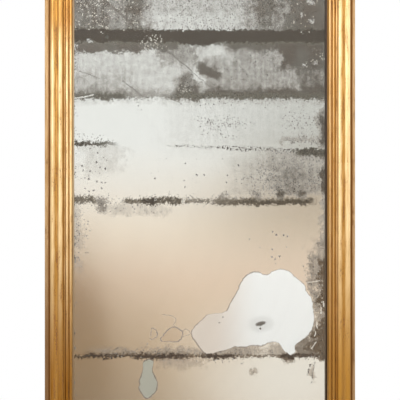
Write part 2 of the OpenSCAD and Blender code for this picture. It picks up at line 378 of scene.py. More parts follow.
moulding = {
    "wallAt": 15,
    "sightAt": 85,
    "backDeep": 27,
    "groundDeep": 35,
    "outerReed": {"middle": (23, 41), "radius": 8.5},
    "hollow": {"middle": (32.32, 55.63), "radius": 9},
    "innerReed": {"middle": (44.2, 41), "radius": 10},
    "innerWallAt": 53.7,
    "outerBead": {"middle": (63.2, 36.8), "radius": 4.9},
    "innerBead": {"middle": (74.1, 34), "radius": 4.6},
    "lipCove": {"middle": (86.5, 37.5), "radius": 8},
    "arcStep": 5,  # degrees
    "ringGap": 6,
    "mitreGap": 0.15,
    "waver": 0.22,  # how far the hand-worked gesso dips
    "waverAcross": 60,  # turns of the waver in a metre
    "waverAlong": 14,
    "creaseDegrees": 32,
}


def onArc(arc, degrees):
    turn = math.radians(degrees)
    return (
        arc["middle"][0] + arc["radius"] * math.cos(turn),
        arc["middle"][1] + arc["radius"] * math.sin(turn),
    )


def angleAtWall(arc, across):
    return math.degrees(math.acos((across - arc["middle"][0]) / arc["radius"]))


def angleAtGround(arc, deep):
    return math.degrees(math.asin((deep - arc["middle"][1]) / arc["radius"]))


def angleWhereTheyCross(arc, other):  # on the first arc, for the crossing on its clockwise side
    apart = Vector(other["middle"]) - Vector(arc["middle"])
    aim = math.degrees(math.atan2(apart.y, apart.x))
    far = apart.length
    near = (far ** 2 + arc["radius"] ** 2 - other["radius"] ** 2) / (2 * far)
    return aim - math.degrees(math.acos(near / arc["radius"]))


def lineTo(shape, tip, across, deep):
    grown = bmesh.ops.extrude_vert_indiv(shape, verts=[tip])["verts"][0]
    bmesh.ops.translate(shape, verts=[grown], vec=Vector((across * mm, deep * mm, 0)) - grown.co)
    return grown


def arcTo(shape, tip, arc, degrees):  # turns the tip round the arc's middle as far as the angle asked for
    middle = Vector((arc["middle"][0] * mm, arc["middle"][1] * mm, 0))
    now = math.degrees(math.atan2(tip.co.y - middle.y, tip.co.x - middle.x))
    sweep = (degrees - now + 360) % 360 if arc.get("hollowed") else -((now - degrees + 360) % 360)
    steps = max(2, round(abs(sweep) / moulding["arcStep"]))
    turn = math.radians(sweep)
    spun = bmesh.ops.spin(
        shape, geom=[tip], cent=middle, axis=(0, 0, 1), angle=turn, steps=steps, dvec=(0, 0, 0),
    )
    return [item for item in spun["geom_last"] if isinstance(item, bmesh.types.BMVert)][0]


def mouldingSection(shape):
    outerReed = moulding["outerReed"]
    innerReed = moulding["innerReed"]
    hollow = dict(moulding["hollow"], hollowed=True)
    outerBead = moulding["outerBead"]
    innerBead = moulding["innerBead"]
    cove = dict(moulding["lipCove"], hollowed=True)
    ground = moulding["groundDeep"]
    back = moulding["backDeep"]
    first = shape.verts.new((moulding["wallAt"] * mm, back * mm, 0))
    outerStart = -angleAtWall(outerReed, moulding["wallAt"])
    tip = lineTo(shape, first, *onArc(outerReed, outerStart))
    tip = arcTo(shape, tip, outerReed, angleWhereTheyCross(outerReed, hollow))
    tip = arcTo(shape, tip, hollow, angleWhereTheyCross(hollow, innerReed))
    tip = arcTo(shape, tip, innerReed, -angleAtWall(innerReed, moulding["innerWallAt"]))
    tip = lineTo(shape, tip, moulding["innerWallAt"], ground)
    for bead in (outerBead, innerBead):
        meet = angleAtGround(bead, ground)
        tip = lineTo(shape, tip, *onArc(bead, 180 - meet))
        tip = arcTo(shape, tip, bead, meet)
    tip = lineTo(shape, tip, *onArc(cove, 180 - angleAtGround(cove, ground)))
    tip = arcTo(shape, tip, cove, -angleAtWall(cove, moulding["sightAt"]))
    tip = lineTo(shape, tip, moulding["sightAt"], back)
    bmesh.ops.contextual_create(shape, geom=[tip, first])


def makeMoulding(name, node, length, place, finish):
    shape = bmesh.new()
    mouldingSection(shape)
    rings = round(length / (moulding["ringGap"] * mm))
    swept = bmesh.ops.extrude_edge_only(shape, edges=shape.edges)["geom"]
    farEnd = [item for item in swept if isinstance(item, bmesh.types.BMVert)]
    bmesh.ops.translate(shape, verts=farEnd, vec=(0, 0, length))
    lengthwise = [edge for edge in shape.edges if edge.calc_length() > length / 2]
    bmesh.ops.subdivide_edges(shape, edges=lengthwise, cuts=rings - 1)
    gap = moulding["mitreGap"] * mm
    for end, away in ((0, -1), (length, 1)):
        bmesh.ops.bisect_plane(
            shape, geom=shape.verts[:] + shape.edges[:] + shape.faces[:], dist=1e-7,
            plane_co=(0, 0, end - away * gap), plane_no=(1, 0, away), clear_outer=True,
        )
    openEdges = [edge for edge in shape.edges if edge.is_boundary]
    bmesh.ops.holes_fill(shape, edges=openEdges, sides=0)
    ground = moulding["groundDeep"] * mm
    wide = moulding["waverAcross"]
    long = moulding["waverAlong"]
    for vert in shape.verts:  # a hand-scraped surface: it only ever dips below the true section
        if vert.co.y > ground:
            dip = 0.5 + 0.5 * noise.noise(Vector((vert.co.x * wide, vert.co.y * wide, vert.co.z * long)))
            vert.co.y -= dip * moulding["waver"] * mm
    shape.transform(place)
    bmesh.ops.recalc_face_normals(shape, faces=shape.faces)
    finishPiece(name, shape, finish, node, moulding["creaseDegrees"])


gilding = {
    "leaf": tint(248, 217, 164),
    "leafDeep": tint(182, 134, 66),
    "leafLowShaded": tint(196, 142, 60),  # painted shade: darker and browner towards the floor
    "leafLowLeftShaded": tint(152, 99, 26),
    "leafHighLeftShaded": tint(196, 142, 74),  # and, as painted shade, high up on the left
    "leafShade": tint(166, 118, 56),
    "bole": tint(150, 98, 46),
    "grime": tint(108, 72, 28),
    "rubbed": tint(146, 128, 104),
    # painted shadow under the lip along the right stile
    "sightEdgeShadow": tint(52, 32, 16),
    "leafWide": 76,  # a leaf of gold in mm, laid across the moulding with its edge lapped
    "leafAskew": 0.35,
    "lapWide": 0.035,
    "startRight": 437,  # how far along the right stile's pattern starts, so that the two aren't alike
    "metallic": 0.96,
    "roughness": 0.40,
    "coat": 0.38,
    "coatRoughness": 0.3,
    "bump": 0.55,
    "bumpHigh": 0.0005,
}
# How far each is drawn out along the moulding, its size in mm, detail and roughness.
gildingClouds = {
    "streak": (14, 7, 5.0, 0.62),
    "patch": (5, 21, 3.0, 0.55),
    "fleck": (2.4, 2.6, 3.0, 0.7),
    "wrinkle": (1.6, 4.5, 4.0, 0.6),
}
# Where each change starts and ends.
gildingTurns = {
    "toRight": (-0.1, 0.1),  # x and z in metres
    "low": (0.85, 0.35),
    "highLeftShade": (1.30, 1.44),
    "innerHalf": (54, 60),  # mm in from the outer edge
    "lip": (78.5, 81.0),
    "lipShadeRight": (78.0, 79.5),
    "sightEdgeShadow": (81.2, 82.2),
    "tone": (-0.45, 0.95),
    "worn": (0.70, 0.80),
    "dirty": (0.67, 0.76),
}
# How much each counts, as the leaf deepens, wears to the bole and gathers dirt; the valley share deepens it as painted
# shade.
deepening = {"valleyShadeAndGrime": 0.9, "streak": 1.7, "patch": 1.3, "leaf": 0.12, "lap": 0.12}
wearing = {"fleck": 0.5, "valleyShadeAndGrime": 0.07, "patch": 0.2}
dirtying = {"streak": 0.5, "valleyShadeAndGrime": 0.08, "patch": 0.6}
# The hollow and the gaps, darkened as painted shade with a little grime, where the leaf lies dull: middle, reach
# and how much further in each lies along the right stile, where the painted shade falls as if lit from the left.
shadedValleys = {
    "wall": (14.5, 2.4, 0),
    "hollow": (32.3, 8.5, 4.0),
    "groove": (53.2, 6.0, 7.0),
    "betweenBeads": (68.7, 2.6, -1.0),
    "lip": (78.8, 2.4, 0),
}


def gildedFinish(name, upright):
    paint = newPaint(name)
    x, y, z = paint.split(paint.objectSpot())
    onRight = paint.eased(x, *gildingTurns["toRight"])
    if upright:
        across = (halfWide - abs(x)) / mm
        along = z / mm + onRight * gilding["startRight"]
    else:
        across = (halfHigh - abs(z - halfHigh)) / mm
        along = x / mm
    deep = y * (-1 / mm)

    def drawn(cloud):
        length, size, detail, roughness = gildingClouds[cloud]
        return paint.cloud(paint.joined(across, deep, along / length), size, detail, roughness)

    # Painted shade in the recesses: beside the wall, in the hollow, the groove, between the beads and at the lip.
    valleyShadeAndGrime = None
    for middle, reach, further in shadedValleys.values():
        near = paint.eased(abs(across - middle - onRight * further), reach, reach * 0.25)
        valleyShadeAndGrime = near if valleyShadeAndGrime is None else paint.most(valleyShadeAndGrime, near)
    lip = paint.eased(across, *gildingTurns["lip"])
    streak = drawn("streak")
    patch = drawn("patch")
    fleck = drawn("fleck")
    lapAt = along / gilding["leafWide"] + (patch - 0.5) * gilding["leafAskew"]
    leafNumber = paint.maths("FLOOR", lapAt)
    leafTone = paint.node("TexWhiteNoise", {"noise_dimensions": "1D"}, {"W": leafNumber})
    lap = paint.eased(lapAt - leafNumber, gilding["lapWide"], 0.0)
    shade = valleyShadeAndGrime * deepening["valleyShadeAndGrime"] + (streak - 0.5) * deepening["streak"]
    shade = shade + (patch - 0.5) * deepening["patch"] + (leafTone - 0.5) * deepening["leaf"]
    shade = shade + lap * deepening["lap"]
    # Painted shade: the leaf is darker and browner towards the floor, most on the left, and darker high up on the
    # left.
    lowShadeShare = paint.eased(z, *gildingTurns["low"])
    low = paint.mixed(onRight, gilding["leafLowLeftShaded"], gilding["leafLowShaded"])
    leaf = paint.mixed(lowShadeShare, gilding["leaf"], low)
    highLeftShade = paint.eased(z, *gildingTurns["highLeftShade"]) * (1 - onRight)
    leaf = paint.mixed(highLeftShade, leaf, gilding["leafHighLeftShaded"])
    if upright:
        innerRight = paint.eased(across, *gildingTurns["innerHalf"]) * onRight
        leaf = paint.mixed(innerRight * 0.6, leaf, gilding["leafShade"])
    gold = paint.mixed(paint.eased(shade, *gildingTurns["tone"]), leaf, gilding["leafDeep"])
    worn = streak + (fleck - 0.5) * wearing["fleck"] + valleyShadeAndGrime * wearing["valleyShadeAndGrime"] + patch * wearing["patch"]
    worn = paint.eased(worn, *gildingTurns["worn"])
    dirty = fleck + (streak - 0.5) * dirtying["streak"] + valleyShadeAndGrime * dirtying["valleyShadeAndGrime"]
    dirty = dirty + (patch - 0.5) * dirtying["patch"]
    dirty = paint.eased(dirty, *gildingTurns["dirty"])
    colour = paint.mixed(worn * 0.75, gold, gilding["bole"])
    colour = paint.mixed(dirty * 0.7, colour, gilding["grime"])
    colour = paint.mixed(lip * 0.85, colour, gilding["rubbed"])
    if upright:
        # Painted shade down the right stile: the lip is darkened and the sight edge is painted near black, as the
        # shadow under the lip seen from the left.
        lipShadeRight = paint.eased(across, *gildingTurns["lipShadeRight"]) * onRight
        colour = paint.mixed(lipShadeRight * 0.7, colour, gilding["leafDeep"])
        sightShadowRight = paint.eased(across, *gildingTurns["sightEdgeShadow"]) * onRight
        colour = paint.mixed(sightShadowRight, colour, gilding["sightEdgeShadow"])
    height = drawn("wrinkle") + streak * 0.8 - worn * 0.5 - lap * 0.3
    surface = {
        "Base Color": colour,
        "Metallic": gilding["metallic"] - worn * 0.6 - dirty * 0.6,
        "Roughness": gilding["roughness"] + (streak - 0.5) * 0.25 + worn * 0.2 + valleyShadeAndGrime * 0.08,
        "Coat Weight": (gilding["coat"] - valleyShadeAndGrime * 0.34) * (1 - lowShadeShare * 0.6),
        "Coat Roughness": gilding["coatRoughness"],
        "Normal": paint.bumped(gilding["bump"], gilding["bumpHigh"], height),
    }
    return paint.shader(surface)


def makeMouldings():
    stile = gildedFinish("waterGildingStile", True)
    rail = gildedFinish("waterGildingRail", False)
    toFront = Vector((0, -1, 0))
    members = [  # name, replaced node, length, outer corner, the way inwards, and whether it stands
        ("gilding_left", "gilt_moulding_left", frameHigh, (-halfWide, 0), (1, 0), True),
        ("gilding_right", "gilt_moulding_right", frameHigh, (halfWide, 0), (-1, 0), True),
        ("gilding_bottom", "gilt_moulding_bottom", 2 * halfWide, (-halfWide, 0), (0, 1), False),
        ("gilding_top", "gilt_moulding_top", 2 * halfWide, (-halfWide, frameHigh), (0, -1), False),
    ]
    for name, node, length, corner, inward, upright in members:
        across = Vector((inward[0], 0, inward[1]))
        along = Vector((0, 0, 1)) if upright else Vector((1, 0, 0))
        place = Matrix((across, toFront, along)).transposed().to_4x4()
        place.translation = Vector((corner[0], 0, corner[1]))
        makeMoulding(name, node, length, place, stile if upright else rail)


makeMouldings()
print("mouldings run and gilded")


# The silvering is foxed. Places on it are in mm from the middle of the plate, x to the right and z up.

plateMiddle = Vector((0, 0, halfHigh))

silver = {
    "bright": tint(243, 244, 242),
    "haze": tint(92, 83, 75),
    "hazeCool": tint(104, 100, 94),
    # the low tints are warmer, partly the stain's own colour and partly a painted reflection of the warm room below
    "hazeLowWarmReflection": tint(104, 87, 68),
    "brown": tint(56, 46, 37),
    "brownLowWarmReflection": tint(58, 40, 28),
    "brownThin": tint(106, 102, 92),
    "spark": tint(206, 204, 196),
    "speck": tint(54, 46, 39),
    "speckLowWarmReflection": tint(52, 36, 22),
    "sightShadow": tint(58, 42, 28),
    "tin": tint(96, 94, 90),  # the dull back of the layer
    "backAt": -22,
    "backOver": 0.15,
    "patch": tint(236, 238, 238),
    "patchDull": tint(224, 215, 206),
    "drip": tint(186, 188, 178),
    "outline": tint(104, 78, 56),
    "specular": 0.2,
    "coatRoughness": 0.02,
    "swell": 0.00008,  # in metres: old plate isn't quite flat
}
# Size in mm, detail and roughness of the clouds that break up the marks.
silverClouds = {
    "wander": (44, 5.0, 0.62),
    "fine": (7, 5.0, 0.75),
    "drift": (70, 4.0, 0.6),
    "mottle": (18, 6.0, 0.72),
    "drag": (12, 4.0, 0.6),
    "crumbs": (4.8, 3.0, 0.7),
    "swell": (160, 1.0, 0.5),
}
# How far they pull the marks' edges about, in x, y and z.
silverPulls = {
    "frayedWander": (12, 0, 12),
    "frayedFine": (8, 0, 8),
    "tornWander": (46, 0, 8),
    "tornFine": (26, 0, 36),
    "cloudyWander": (90, 0, 30),
    "spottedFine": (9, 0, 9),
    "crumbledFine": (0, 0, 16),
    "sparkShift": (31, 0, 17),
}
# Cell and largest radius of the specks, the radius as a share of the cell.
speckSizes = {"dusty": (5.0, 0.35), "spotted": (11, 0.27), "sparkling": (5.6, 0.38)}
# Where each change starts and ends, in mm on the plate or as a share.
silverTurns = {
    "rim": (346, 370),
    "crumbs": (0.495, 0.55),
    "inside": (0.8, -0.8),
    "outline": (2.3, 0.6),
    "island": (2.4, 0.6),
    "drop": (2.0, 0.5),
    "outlineFades": (250, 120),
    "low": (120, -250),
    "cool": (-0.12, 0.12),
    "thin": (0, 0.7),
    "brown": (0.6, 1.0),
    "dull": (0.7, 1.0),
    "lobe": (20, 180),
    "sight": (360.2, 362.4),
    "sightLow": (180, -400),
}

# Strips: left and right ends (None at the edge of the plate), lowest, highest, how far the ends, the low edge
# and the high edge fade, and strength. Each band's heights count from the joint over the board that is named,
# where damp air reached the back.
bands = {
    "backboard_09": {"whole": (None, None, -8, 14, 1, 16, 8, 0.80)},
    "backboard_08": {
        "whole": (None, None, -10, 19, 1, 18, 4, 1.0),
        "softLeft": (None, -180, -5, 20, 40, 10, 14, 0.5),
        "dip": (-45, 40, -20, 0, 30, 8, 6, 0.8),
    },
    "backboard_07": {
        "whole": (None, None, -1, 1, 1, 8, 14, 0.28),
        "left": (-345, -235, -4, 2, 40, 10, 16, 0.45),
        "right": (-50, None, -3, 3, 50, 7, 18, 0.40),
    },
    "backboard_06": {
        "left": (None, -310, 5, 11, 100, 5, 8, 0.85),
        "right": (310, None, -22, -9, 60, 12, 6, 0.80),
    },
    "backboard_05": {
        "left": (-372, -310, 0, 10, 14, 10, 12, 0.60),
        "weak": (-210, -150, -2, 4, 30, 8, 10, 0.60),
        "middle": (-146, -64, -3, 5, 30, 8, 12, 0.76),
        "thin": (-44, 20, -1, 3, 20, 6, 9, 0.50),
        "right": (50, 316, -6, 1, 30, 8, 18, 0.57),
        "rightDark": (140, 300, -5, 0, 50, 7, 8, 0.12),
    },
    "backboard_02": {
        "core": (None, 345, -1, 1, 30, 5, 6, 0.62),
        "left": (None, -297, -1, 1, 60, 4, 8, 0.15),
        "fuzzy": (-310, -180, -1, 5, 50, 5, 16, 0.35),
        "middle": (-165, -60, -5, 5, 40, 6, 14, 0.42),
        "dark": (-150, -60, -3, 1, 30, 6, 6, 0.30),
        "darkest": (12, 90, -5, 2, 20, 6, 10, 0.60),
        "blot": (240, 262, -9, 4, 14, 14, 8, 0.60),
        "right": (262, 335, -4, 2, 16, 5, 8, 0.40),
    },
    "backboard_01": {"whole": (None, None, -5, 3, 1, 8, 14, 0.62)},
}
hazes = {
    "topLeft": (None, -190, 488, 640, 60, 12, 60, 0.78),
    "topLeftEdge": (None, -300, 488, 560, 60, 12, 60, 0.18),
    "topLeftHigh": (None, -190, 596, 640, 60, 10, 60, 0.24),
    "topMiddle": (-165, 190, 497, 640, 70, 14, 60, 0.26),
    "topMiddleHigh": (-165, 190, 555, 640, 70, 30, 60, 0.18),
    "topRight": (185, None, 497, 640, 90, 16, 60, 0.64),
    "topRightDark": (270, None, 430, 640, 34, 30, 60, 0.50),
    "underOneLeft": (None, -205, 434, 470, 40, 13, 6, 0.92),
    "underOneNext": (-205, -100, 442, 470, 30, 13, 6, 0.72),
    "underOneMiddle": (-100, -24, 415, 470, 20, 44, 6, 0.42),
    "underOneRight": (60, 245, 452, 470, 30, 34, 6, 0.55),
    "rightBlock": (240, 330, 396, 500, 10, 24, 6, 0.45),
    "rightStrip": (305, None, 300, 400, 30, 8, 30, 0.30),
    "rightTop": (330, None, 392, 500, 10, 20, 6, 0.25),
    "leftPane": (None, -40, 308, 440, 60, 6, 20, 0.28),
    "leftPaneLow": (None, -250, 306, 345, 90, 4, 50, 0.20),
    "rightPane": (20, None, 308, 450, 40, 6, 20, 0.60),
    "overTwo": (None, None, 297, 300, 1, 6, 34, 0.40),
    "overTwoRight": (-60, None, 297, 300, 40, 6, 44, 0.25),
    "underTwo": (None, None, 287, 300, 1, 16, 4, 0.14),
    "underTwoRight": (-40, None, 180, 300, 120, 80, 4, 0.10),
    "underThree": (-330, -238, 95, 158, 34, 40, 6, 0.16),
    "shortLine": (262, 335, 170, 177, 44, 4, 8, 0.40),
    "mottleHigh": (240, None, 100, 144, 90, 24, 4, 0.34),
    "mottleLow": (245, None, 24, 78, 60, 20, 20, 0.52),
    "mottleWide": (140, 260, 26, 90, 80, 24, 60, 0.24),
    "underFour": (-245, -215, -30, -12, 40, 20, 6, 0.22),
    "underFourRight": (-170, -120, -34, -12, 40, 20, 6, 0.20),
    "leftEdge": (None, -352, -170, 0, 18, 60, 20, 0.24),
    "rightRim": (355, None, -455, 300, 10, 4, 10, 0.50),
    "rightEdge": (334, None, -455, -170, 26, 6, 70, 0.62),
    "rightFoot": (284, None, -455, -405, 24, 3, 34, 0.80),
    "wedge": (40, 150, -448, -432, 50, 4, 16, 0.50),
    "wedgeRight": (205, 245, -448, -425, 30, 4, 16, 0.45),
    "overFive": (-270, -20, -448, -438, 70, 4, 20, 0.42),
    "underFive": (-110, -15, -472, -460, 30, 24, 4, 0.32),
    "lowLeft": (None, -150, -740, -655, 60, 40, 6, 0.30),
    "lowRight": (100, None, -800, -655, 90, 40, 6, 0.50),
}
# Rounded marks: middle x and z, half width and height, turn in degrees, and strength.
smudges = {
    "pane": (22, 376, 52, 20, -31, 0.80),
    "speckled": (-38, 332, 46, 54, 0, 0.60),
    "rightEdge": (354, 212, 28, 56, 0, 0.60),
    "hanging": (-287, -14, 26, 32, 10, 0.75),
    "tuftOne": (72, 12, 20, 15, 0, 0.5),
    "tuftTwo": (165, 14, 16, 18, 0, 0.5),
    "tuftThree": (230, 16, 16, 20, 0, 0.5),
    "tuftFour": (292, 12, 16, 18, 0, 0.5),
    "blot": (247, -458, 16, 22, 0, 0.40),
    "low": (151, -497, 22, 13, 10, 0.40),
    "lowCore": (151, -499, 8, 5, 0, 0.70),
    "marks": (325, -503, 10, 34, 4, 0.40),
}
clearings = {
    "cloud": (41, 435, 56, 28, 24, 0.62),
    "cloudRight": (74, 420, 44, 28, 0, 0.30),
    "lens": (-9, 357, 28, 14, -50, 0.66),
    "blockSpot": (303, 391, 9, 5, 0, 0.80),
    "blockFleck": (333, 396, 8, 4, 0, 0.70),
    "bandFleck": (-319, 461, 18, 7, -10, 0.80),
    "bandSpot": (-270, 473, 6, 8, 0, 0.50),
    "topSpot": (320, 519, 11, 8, 0, 0.60),
    "topFleck": (320, 575, 14, 7, 0, 0.60),
    "topDot": (294, 536, 8, 7, 0, 0.60),
    "edge": (-364, 448, 8, 24, 0, 0.70),
    "fourGap": (-47, -2, 6, 14, 0, 0.90),
    "hangingFleck": (-276, -13, 8, 4, 0, 0.90),
    "fourFleck": (-111, -5, 5, 4, 0, 0.80),
}
dust = {  # fine specks: how thick they lie
    "topLeft": (-270, 560, 200, 110, 0, 0.34),
    "topMiddle": (30, 575, 300, 140, 0, 0.78),
    "topRight": (190, 560, 160, 110, 0, 0.30),
    "topEdge": (330, 560, 110, 130, 0, 0.20),
    "overOne": (30, 494, 300, 18, 0, 0.80),
    "rightPane": (150, 380, 200, 100, 0, 0.24),
    "leftPane": (-200, 370, 220, 100, 0, 0.12),
    "speckled": (-38, 330, 50, 54, 0, 0.90),
    "alongTwo": (0, 298, 460, 18, 0, 0.70),
    "underTwo": (120, 280, 280, 26, 0, 0.42),
    "underTwoLeft": (-183, 264, 32, 30, 0, 0.46),
    "cluster": (60, 222, 112, 30, 0, 1.35),
    "clusterLow": (55, 188, 90, 16, 0, 0.80),
    "clusterRight": (290, 224, 80, 50, 0, 0.86),
    "shortLine": (292, 174, 84, 13, -2, 1.8),
    "shortLineRight": (300, 178, 50, 20, 0, 0.60),
    "threeRight": (240, 143, 96, 12, -1, 0.50),
    "mottle": (290, 84, 190, 100, 0, 0.84),
    "mottleLow": (200, 46, 150, 50, 0, 0.70),
    "overThree": (-320, 184, 60, 22, 0, 0.52),
    "underThree": (-300, 100, 100, 90, 0, 0.20),
    "leftEdge": (-350, -110, 44, 130, 0, 0.62),
    "leftRim": (-368, -100, 16, 120, 0, 1.1),
    "leftRimHigh": (-368, 400, 14, 260, 0, 0.8),
    "alongFour": (0, 0, 460, 26, 0, 0.56),
    "underFour": (-190, -27, 120, 34, 0, 0.40),
    "fourLeft": (-320, 2, 90, 32, 0, 0.50),
    "rightEdge": (345, -240, 70, 110, 0, 0.66),
    "rightLow": (350, -350, 54, 140, 0, 0.48),
    "alongFive": (0, -446, 460, 16, 0, 0.40),
    "overFive": (-150, -434, 170, 30, 0, 0.46),
    "wedge": (140, -436, 150, 20, 0, 0.45),
    "underFive": (60, -466, 120, 16, 0, 0.50),
}
spots = {  # the same for larger ones
    "left": (-322, 92, 100, 120, 0, 0.62),
    "middle": (10, 70, 260, 110, 0, 0.24),
    "right": (215, -130, 120, 110, 0, 0.26),
    "leftLow": (-345, -226, 40, 14, 0, 0.70),
    "lobe": (50, -352, 60, 34, 0, 0.40),
    "cluster": (66, 222, 104, 26, 0, 0.60),
    "shortLine": (292, 174, 66, 12, -2, 0.60),
    "topMiddle": (30, 575, 300, 140, 0, 0.24),
    "fiveDark": (90, -462, 50, 12, 0, 0.60),
}
sparks = {  # and for specks of silver that have stayed bright
    "bandOne": (-136, 455, 50, 34, 0, 1.40),
    "speckled": (-44, 322, 34, 28, 0, 1.15),
    "topLeft": (-270, 545, 200, 90, 0, 0.56),
    "topRight": (305, 545, 100, 100, 0, 0.30),
    "rightEdge": (348, 410, 40, 40, 0, 0.62),
    "bandFour": (-300, 0, 90, 28, 0, 0.50),
    "bandFourMiddle": (-110, -3, 70, 14, 0, 0.40),
    "bandFourRight": (330, -5, 50, 18, 0, 0.50),
    "bandFive": (-20, -450, 40, 12, 0, 0.90),
    "bandFiveLeft": (-220, -450, 90, 14, 0, 0.45),
    "rightLow": (338, -230, 44, 90, 0, 0.50),
    "foot": (330, -430, 50, 40, 0, 0.60),
    "rightMiddle": (345, -330, 40, 90, 0, 0.60),
    "wedge": (150, -434, 120, 16, 0, 0.55),
}
# Outlines of the spots where the silver has gone chalky or been lost: x and z of the points that shape them.
patchOutline = [
    (-24, -394), (-16, -370), (5, -346), (23, -330), (46, -329), (78, -319), (86, -300), (100, -276),
    (113, -249), (127, -225), (147, -211), (171, -210), (192, -217), (209, -207), (236, -201), (258, -208),
    (277, -225), (301, -246), (309, -268), (323, -288), (327, -314), (327, -368), (316, -387), (297, -406),
    (277, -421), (272, -445), (262, -451), (250, -445), (245, -436), (233, -421), (214, -411), (199, -414),
    (185, -421), (151, -422), (132, -427), (103, -426), (79, -433), (49, -439), (11, -443), (-2, -426),
    (-21, -399),
]
dripOutline = [
    (-164, -467), (-157, -464), (-146, -461), (-137, -465), (-138, -475), (-139, -484), (-137, -498),
    (-131, -513), (-124, -528), (-126, -549), (-139, -566), (-152, -573), (-161, -570), (-171, -557),
    (-177, -547), (-176, -528), (-173, -508), (-166, -484),
]
islandOutline = [
    (-114, -406), (-108, -394), (-98, -380), (-86, -370), (-76, -367), (-62, -374), (-52, -384), (-53, -395),
    (-76, -411), (-105, -410),
]
dropOutline = [
    (-147, -399), (-143, -394), (-141, -382), (-139, -371), (-131, -374), (-124, -387), (-130, -397),
    (-138, -401),
]
middles = {"patch": (188, -336), "drip": (-155, -522), "island": (-74, -390), "drop": (-134, -388)}
tail = [  # a thin line from one point to the next
    (-112, -332), (-91, -334), (-79, -336), (-71, -342), (-72, -351), (-77, -360), (-76, -368), (-62, -374),
    (-54, -381), (-43, -375), (-31, -379), (-30, -388), (-42, -395), (-53, -398),
]
tailHalfWide = 0.6
eye = {  # the dark mark in the patch, as rounded marks
    "halo": (176, -360, 46, 30, 10, 0.14),
    "eye": (175, -359, 19, 8, 14, 0.8),
    "dot": (174, -373, 4, 4, 0, 0.8),
}
cracks = {  # lines of specks: start, end and half width
    "threeLeft": ((-98, 158), (-60, 156), 1.0),
    "three": ((-72, 157), (100, 150), 3.2),
    "threeMiddle": ((70, 151), (190, 147), 6.4),
    "threeRight": ((190, 147), (310, 142), 5.6),
    "lowOne": ((319, -474), (312, -506), 3.0),
    "lowTwo": ((332, -472), (322, -532), 2.2),
}
scratches = {  # start, end and half width
    "top": ((-283, 585), (-194, 505), 3.0),
    "middle": ((-98, 434), (-24, 372), 1.8),
    "middleLow": ((-24, 372), (38, 318), 1.0),
    "low": ((-225, 345), (-168, 300), 1.5),
    "left": ((-349, 372), (-290, 350), 1.0),
}
slashes = {  # where the silver shows bright through the marks
    "left": ((-362, 295), (-310, 302), 1.5),
    "rightHigh": ((307, -242), (346, -236), 1.2),
    "rightOne": ((358, -295), (359, -308), 1.8),
    "rightTwo": ((338, -352), (341, -372), 1.6),
    "rightThree": ((336, -384), (332, -395), 1.3),
    "rightFour": ((335, -413), (323, -432), 1.4),
    "rightFive": ((351, -311), (350, -328), 1.4),
}


def strip(paint, x, z, facts, level=0.0):
    left, right, low, high, ends, under, over, strength = facts
    band = paint.eased(z, level + low - under, level + low, 0, strength)
    band = band * paint.eased(z, level + high + over, level + high)
    if left is not None:
        band = band * paint.eased(x, left - ends, left)
    if right is not None:
        band = band * paint.eased(x, right + ends, right)
    return band


def specks(paint, place, density, size):  # a dot of its own size in some of the cells that lie side by side
    cell, largest = size
    nearest = paint.node("TexVoronoi", values={"Vector": place, "Scale": 1 / cell})
    cellColour = Wire(paint, nearest.socket.node.outputs["Color"])
    chance = paint.node("SeparateColor", values={0: cellColour})
    radius = paint.maths("MINIMUM", (density + chance - 1) * 2.2, largest)
    return paint.eased(radius - nearest, -0.05, 0.10)


def outside(paint, place, middle, outline):  # how far outside an outline a place is, out from its middle
    turns = []
    for pointX, pointZ in outline:
        across, up = pointX - middle[0], pointZ - middle[1]
        turns.append((0.5 + math.atan2(up, across) / math.tau, math.hypot(across, up)))
    turns.sort()
    furthest = max(reach for turn, reach in turns)
    before = (turns[-1][0] - 1, turns[-1][1])
    share = -before[0] / (turns[0][0] - before[0])
    seam = before[1] + (turns[0][1] - before[1]) * share
    turns = [(0.0, seam)] + turns + [(1.0, seam)]
    turns = [(turn, reach / furthest) for turn, reach in turns]
    x, z = paint.split(paint.vector("SUBTRACT", place, (middle[0], 0, middle[1])), "xz")
    angle = paint.maths("ARCTAN2", z, x) * (1 / math.tau) + 0.5
    reach = paint.node("FloatCurve", {"turns": turns}, {"Factor": 1.0, "Value": angle})
    far = paint.vector("LENGTH", paint.joined(x, 0, z), out=1)
    return far - reach * furthest


def lineBetween(paint, place, start, end, width):  # width is half the line's
    run = Vector((end[0] - start[0], 0, end[1] - start[1]))
    fromStart = paint.vector("SUBTRACT", place, (start[0], 0, start[1]))
    share = paint.vector("DOT_PRODUCT", fromStart, tuple(run / run.length_squared), out=1)
    share = paint.clamped(share)
    nearest = paint.node("VectorMath", {"operation": "SCALE"}, {0: tuple(run), "Scale": share})
    far = paint.vector("DISTANCE", fromStart, nearest, out=1)
    return paint.eased(far, width + 0.8, width - 0.8)


def linesOf(paint, place, lines):
    total = None
    for start, end, width in lines:
        mark = lineBetween(paint, place, start, end, width)
        total = mark if total is None else paint.most(total, mark)
    return total


